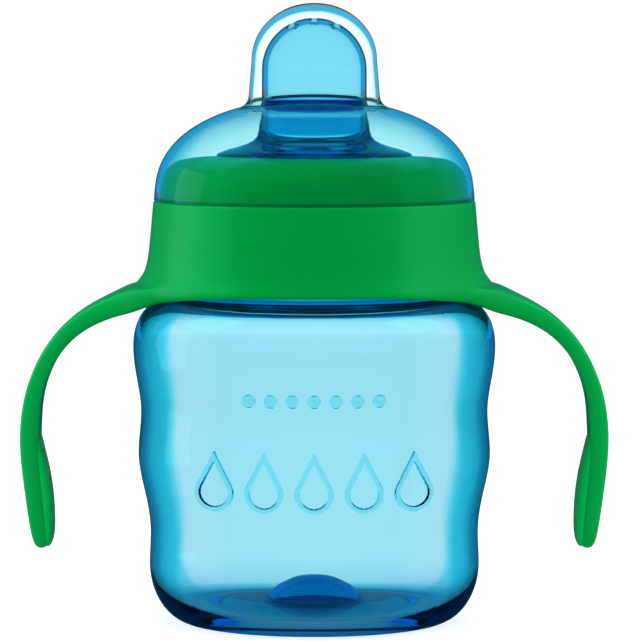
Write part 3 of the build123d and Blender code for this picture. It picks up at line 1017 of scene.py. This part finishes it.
def pad_ring(pad, side, face_point, back_point, width):
    """Vertices round a pad at one station: across its palm face, then back along the arm."""
    steps = [-1 + 2 * i / PAD_FACES for i in range(PAD_FACES + 1)]
    ring = []
    for across in steps:
        x = side * (face_point[0] + PAD_SAG * across**4)
        ring.append(pad.verts.new((x * MM, across * width * MM, face_point[1] * MM)))
    for across in reversed(steps):
        x = side * back_point[0]
        ring.append(pad.verts.new((x * MM, across * width * MM, back_point[1] * MM)))
    return ring


def build_pad(name, side, node):
    """A grip pad on the inner face of one arm."""
    pad = bmesh.new()
    rings = [pad_ring(pad, side, *station) for station in PAD_STATIONS]
    for ring, following in zip(rings, rings[1:]):
        for i in range(len(ring)):
            k = (i + 1) % len(ring)
            pad.faces.new((ring[i], ring[k], following[k], following[i]))
    for ring in (rings[0], rings[-1]):
        for i in range(PAD_FACES):
            pad.faces.new((ring[i], ring[i + 1], ring[-2 - i], ring[-1 - i]))
    return finish_cage(pad, name, node, GREEN_GRIP)


build_pad("right_soft_grip", 1, "right_grip_pad")
build_pad("left_soft_grip", -1, "left_grip_pad")


# ---- Spout ----

FLANGE_BOTTOM = 89.7
FLANGE_TOP = 91.1
HORN_R = 10.4
ARCH = 110.6
SOCKET_R = 10.6
SOCKET_BORE_R = 9.4
SOCKET_BOTTOM = 85.5

SPOUT_COLUMNS = 160
DRINKING_HOLE_R = 0.9
DRINKING_HOLE_STEP = 4.2
DRILL_LENGTH = 8.0


def with_squeeze(points, squeeze):
    """The same points, with each ring squeezed front to back."""
    return [(x, z, squeeze) for x, z in points]


def build_spout():
    """The spout: socket, flange, shallow cone and flat oval mouthpiece, hollow inside."""
    base = [
        (SOCKET_R, SOCKET_BOTTOM, 1),
        (SOCKET_R, 94.6, 1),
        (18.1, 93.2, 1),
        (18.1, FLANGE_BOTTOM, 1),
        (27.2, FLANGE_BOTTOM, 1),
        (27.2, FLANGE_TOP, 1),
        (19.5, FLANGE_TOP, 1),
        (19.5, 93.6, 1),
    ]
    base += with_squeeze(arc((18.9, 93.7), 0.6, 0, 70, steps=4), 1)
    base += [
        (17.2, 94.95, 0.96),
        (15.2, 95.45, 0.87),
        (13.4, 96.0, 0.76),
        (12.2, 96.6, 0.68),
        (11.45, 97.4, 0.63),
        (11.1, 98.6, 0.6),
        (10.9, 100.2, 0.58),
        (10.6, 101.6, 0.56),
    ]
    outer = [(HORN_R, 103.0, 0.55), (HORN_R, 107.0, 0.55)]
    outer += with_squeeze(arc((0, ARCH), HORN_R, 0, 90, steps=22), 0.55)
    bore = with_squeeze(arc((0, ARCH), 9.2, 90, 0, steps=20), 0.5)
    bore += [(9.2, 104.0, 0.5), (9.25, 100.0, 0.52), (9.4, 97.2, 0.62), (9.4, 95.6, 0.9)]
    bore += [(SOCKET_BORE_R, 94.6, 1), (SOCKET_BORE_R, SOCKET_BOTTOM, 1)]
    outline = base + outer + bore
    verts = turned(outline, SPOUT_COLUMNS)
    faces = grid_faces(len(outline), SPOUT_COLUMNS)
    piece = finish_mesh("mouthpiece", verts, faces, "spout_insert", "spout", SPOUT_PLASTIC)
    cut_holes(piece)
    paint(piece, SPOUT_PLASTIC)
    return piece


def cut_holes(piece):
    """Cuts the three drinking holes through the top of the mouthpiece."""
    drill = bmesh.new()
    for step in (-1, 0, 1):
        radius = DRINKING_HOLE_R * MM
        made = bmesh.ops.create_cone(
            drill, cap_ends=True, segments=32, radius1=radius, radius2=radius, depth=DRILL_LENGTH * MM
        )
        place = (step * DRINKING_HOLE_STEP * MM, 0, (ARCH + HORN_R) * MM)
        bmesh.ops.translate(drill, verts=made["verts"], vec=place)
    mesh = bpy.data.meshes.new("drill")
    drill.to_mesh(mesh)
    drill.free()
    tool = bpy.data.objects.new("drill", mesh)
    bpy.context.scene.collection.objects.link(tool)
    cut = piece.modifiers.new("holes", "BOOLEAN")
    cut.operation = "DIFFERENCE"
    cut.solver = "EXACT"
    cut.object = tool
    bpy.context.view_layer.update()
    depsgraph = bpy.context.evaluated_depsgraph_get()
    result = bpy.data.meshes.new_from_object(piece.evaluated_get(depsgraph))
    piece.modifiers.clear()
    piece.data = result
    bpy.data.objects.remove(tool)


build_spout()


# ---- Snap cap ----

CAP_RIM = 84.7
CAP_TOP = 123.9
DOME = [
    (32.0, CAP_RIM),
    (31.85, 87.0),
    (31.2, 90.5),
    (28.6, 95.3),
    (22.6, 100.1),
    (16.4, 102.7),
    (8.0, 104.4),
    (0, 104.9),
]
DOME_INSIDE = [
    (31.05, CAP_RIM),
    (30.9, 87.0),
    (30.2, 90.2),
    (27.7, 94.6),
    (22.0, 99.2),
    (16.1, 101.65),
    (8.0, 103.35),
    (0, 103.85),
]
TURRET_LOW = 100.0  # below the dome's top, so that the turret runs into it
DOME_STEPS = 26
FILLET_STEPS = 8
TURRET_STEPS = 8
CROWN_STEPS = 28


def turret_side(foot_r, neck_r, arch_start, top):
    """Half width of the turret against height, as points from its foot to its crown."""
    side = [(foot_r, TURRET_LOW), ((foot_r + neck_r) / 2, (TURRET_LOW + arch_start) / 2)]
    crown = []
    for step in range(CROWN_STEPS + 1):
        t = pi / 2 * step / CROWN_STEPS
        width = neck_r * cos(t) ** 0.98 if step < CROWN_STEPS else 0.0
        crown.append((width, arch_start + (top - arch_start) * sin(t)))
    return side + crown


def interpolated(value, known, wanted):
    """The wanted quantity at one value of a known one."""
    return float(np.interp(value, known, wanted))


def round_off(first, corner, last):
    """Points on the small round from first towards last, about the corner between them."""
    out = []
    for step in range(FILLET_STEPS):
        u = step / FILLET_STEPS
        weights = ((1 - u) ** 2, 2 * u * (1 - u), u * u)
        x = weights[0] * first[0] + weights[1] * corner[0] + weights[2] * last[0]
        z = weights[0] * first[1] + weights[1] * corner[1] + weights[2] * last[1]
        out.append((x, z))
    return out


def cap_profile(dome, turret, stretch, fillet):
    """(radius, height) from the rim up the dome, round the fillet and up the turret, in one direction.

    stretch scales the turret's half width in that direction.
    """
    dome_r = [r for r, _ in dome]
    dome_z = [z for _, z in dome]
    turret_r = [r for r, _ in turret]
    turret_z = [z for _, z in turret]
    lengths = [0.0]
    for a, b in zip(dome, dome[1:]):
        lengths.append(lengths[-1] + hypot(b[0] - a[0], b[1] - a[1]))
    height = 103.0
    for _ in range(12):  # closes in on the height where the turret meets the dome
        foot = interpolated(height, turret_z, turret_r) * stretch
        height = interpolated(foot, dome_r[::-1], dome_z[::-1])
    start = foot + fillet
    start_length = interpolated(-start, [-r for r in dome_r], lengths)
    profile = []
    for step in range(DOME_STEPS):
        s = start_length * step / DOME_STEPS
        profile.append((interpolated(s, lengths, dome_r), interpolated(s, lengths, dome_z)))
    first = (start, interpolated(start, dome_r[::-1], dome_z[::-1]))
    last = (interpolated(height + fillet, turret_z, turret_r) * stretch, height + fillet)
    profile += round_off(first, (foot, height), last)
    arch_start = turret[2][1]
    for step in range(TURRET_STEPS):
        z = last[1] + (arch_start - last[1]) * step / TURRET_STEPS
        profile.append((interpolated(z, turret_z, turret_r) * stretch, z))
    return profile + [(r * stretch, z) for r, z in turret[2:]]


def cap_sheet(dome, turret, squeeze, fillet, columns):
    """Rows of points over the cap from its rim to its crown: dome, small fillet, flattened turret."""
    dome_points = curve(dome, steps=24, start=(0, 1), end=(-1, 0))
    profiles = []
    for column in range(columns):
        t = 2 * pi * column / columns
        x, y = cos(t), squeeze * sin(t)
        stretch = hypot(x, y)
        profile = cap_profile(dome_points, turret, stretch, fillet)
        direction = (x / stretch, y / stretch)
        profiles.append([(r * direction[0], r * direction[1], z) for r, z in profile])
    rows = len(profiles[0])
    return [[profiles[c][row] for c in range(columns)] for row in range(rows)]


def build_cap():
    """The snap cap: a dome with a flat turret over the mouthpiece."""
    columns = 240
    turret = turret_side(13.55, 12.5, 112.6, CAP_TOP)
    turret_inside = turret_side(12.75, 11.75, 112.4, CAP_TOP - 1.4)
    outside = cap_sheet(DOME, turret, 0.60, 1.9, columns)
    inside = cap_sheet(DOME_INSIDE, turret_inside, 0.575, 1.2, columns)
    rows = outside + inside[::-1]
    verts = [point for row in rows for point in row]
    faces = grid_faces(len(rows), columns)
    return finish_mesh("cap_shell", verts, faces, "cap", "snap_cap", CAP_PLASTIC)


build_cap()


# ---- Small pieces inside, kept from the frame ----

paint(nodes["rim_seal"], SILICONE)
paint(nodes["valve_membrane"], SILICONE)
paint(nodes["valve_retainer"], SPOUT_PLASTIC)


# ---- Studio ----

# How bright the surroundings are: seen directly, through clear plastic, in gloss, off the inside of clear
# plastic, and as plain light
WORLD_CAMERA = 1.05
WORLD_THROUGH = 1.12
WORLD_GLOSSY = 0.22
WORLD_INNER = 0.85
WORLD_DIFFUSE = 0.62
GLOSS_SKY = (0.08, 0.6, 0.95)
DEEP_SHARE = 0.85  # of the inner level, for light that crosses several walls
DEEP_AFTER = 2.5  # walls

FLOOR_CAMERA = 0.75
FLOOR_THROUGH = 0.49
FLOOR_INNER = 0.3
FLOOR_BOUNCE = 0.15
FLOOR_FAR = 0.30  # added by FAR_END, where the table meets the world
FAR_END = 2.2
FLOOR_HALF = 6.0
FLOOR_IN_GLOSS = (0.01, 0.10, 0.15)
HALO_START = 0.01
HALO_END = 0.045

LAMP_AIM = Vector((0, 0, 0.07))
SHINE = (0.05, 1.0, 0.7)


def in_gloss_only(tree):
    """1 for light that has come off a glossy surface, even if it passed through clear plastic on the way."""
    path = tree.nodes.new("ShaderNodeLightPath")
    return math_node(tree, "MINIMUM", path.outputs["Glossy Depth"], 1.0)


def blend(tree, factor, first, second):
    """A mix of two levels, each a socket or a plain number."""
    switch = tree.nodes.new("ShaderNodeMix")
    switch.data_type = "FLOAT"
    return feed(tree, switch, {0: factor, 2: first, 3: second}).outputs[0]


def by_ray(tree, camera_level, clear_level, glossy_level, inner_level, other_level):
    """A level that depends on how the light reaches the eye.

    It comes straight, through clear plastic, off a glossy surface, off the inside of clear plastic, or else.
    """
    path = tree.nodes.new("ShaderNodeLightPath")
    level = blend(tree, path.outputs["Is Transmission Ray"], other_level, clear_level)
    level = blend(tree, path.outputs["Is Camera Ray"], level, camera_level)
    deep = math_node(tree, "GREATER_THAN", path.outputs["Transmission Depth"], DEEP_AFTER)
    inside = blend(tree, deep, inner_level, DEEP_SHARE * inner_level)
    reflected = blend(tree, path.outputs["Is Transmission Ray"], glossy_level, inside)
    level = blend(tree, in_gloss_only(tree), level, reflected)
    scattered = math_node(tree, "MINIMUM", path.outputs["Diffuse Depth"], 1.0)
    return blend(tree, scattered, level, other_level)


def build_floor():
    """A pale lit table. Seen through clear plastic its glow is painted dimmer around the cup, a painted
    shade.
    """
    half = FLOOR_HALF
    mesh = bpy.data.meshes.new("floor")
    corners = [(-half, -half, 0), (half, -half, 0), (half, half, 0), (-half, half, 0)]
    mesh.from_pydata(corners, [], [(0, 1, 2, 3)])
    floor = bpy.data.objects.new("floor", mesh)
    bpy.context.scene.collection.objects.link(floor)
    material, tree, shader = new_material("pale_table")
    feed(tree, shader, {"Roughness": 0.9, "Specular IOR Level": 0.0, "Emission Color": (1, 1, 1, 1)})
    place = add_bump(tree, shader, 400.0, 0.03, 0.0005)
    vary_colour(tree, shader, place, 3.0, (0.55, 0.55, 0.55), (0.57, 0.57, 0.57))
    # painted reflection: the table's colour is painted dark blue-green where it is seen in gloss
    mix_over(tree, shader, in_gloss_only(tree), FLOOR_IN_GLOSS)
    distance = size_of(tree, place.outputs["Object"])
    # painted shade: the glow seen through clear plastic is painted dimmer near the cup
    glow_painted_dim_near_cup = ramp(tree, distance, HALO_START, HALO_END, 0.0, FLOOR_THROUGH)
    through = math_node(tree, "ADD", glow_painted_dim_near_cup, ramp(tree, distance, 0.0, FAR_END, 0.0, FLOOR_FAR))
    glow = by_ray(tree, FLOOR_CAMERA, through, 0.0, FLOOR_INNER, FLOOR_BOUNCE)
    tree.links.new(glow, shader.inputs["Emission Strength"])
    floor.data.materials.append(material)


def soft_box(name, place, width, height, power, colour=(1, 1, 1), gloss_only=False):
    """A soft lamp aimed at the cup. Gloss-only lamps make the moulded surfaces shine and light nothing."""
    light = bpy.data.lights.new(name, "AREA")
    light.shape = "RECTANGLE"
    light.size = width
    light.size_y = height
    light.energy = power
    light.color = colour
    lamp = bpy.data.objects.new(name, light)
    bpy.context.scene.collection.objects.link(lamp)
    lamp.location = place
    lamp.rotation_euler = (LAMP_AIM - Vector(place)).to_track_quat("-Z", "Y").to_euler()
    lamp.visible_transmission = False
    lamp.visible_glossy = gloss_only
    lamp.visible_diffuse = not gloss_only
    lamp.visible_camera = False
    return lamp


def build_world():
    """Plain white surroundings that look blue in gloss."""
    world = bpy.data.worlds.new("studio")
    bpy.context.scene.world = world
    world.use_nodes = True
    tree = world.node_tree
    background = tree.nodes["Background"]
    tint = tree.nodes.new("ShaderNodeMix")
    tint.data_type = "RGBA"
    feed(tree, tint, {"Factor": in_gloss_only(tree), "A": (1, 1, 1, 1), "B": (*GLOSS_SKY, 1)})
    tree.links.new(tint.outputs["Result"], background.inputs["Color"])
    level = by_ray(tree, WORLD_CAMERA, WORLD_THROUGH, WORLD_GLOSSY, WORLD_INNER, WORLD_DIFFUSE)
    tree.links.new(level, background.inputs["Strength"])


build_floor()
build_world()
for side, lamp, shine, top_shine in (("left", 3.0, 4.2, 1.5), ("right", 2.6, 3.7, 1.3)):
    way = -1 if side == "left" else 1
    beside = (way * 0.78, -0.12, 0.30)
    above = (way * 0.62, 0.0, 0.66)
    soft_box(f"{side}_lamp", beside, 0.35, 0.9, lamp)
    soft_box(f"{side}_shine", beside, 0.35, 0.9, shine, SHINE, gloss_only=True)
    soft_box(f"{side}_top_shine", above, 0.45, 0.45, top_shine, SHINE, gloss_only=True)
soft_box("top_lamp", (0.0, -0.1, 1.0), 0.8, 0.8, 2.0)
soft_box("left_glow", (-0.26, 0.04, 0.06), 0.14, 0.26, 0.14, (0.5, 0.9, 1.0), gloss_only=True)

scene = bpy.context.scene
scene.view_settings.view_transform = "Standard"
scene.cycles.use_denoising = True
scene.cycles.max_bounces = 24
scene.cycles.diffuse_bounces = 4
scene.cycles.glossy_bounces = 8
scene.cycles.transmission_bounces = 24
scene.cycles.transparent_max_bounces = 24
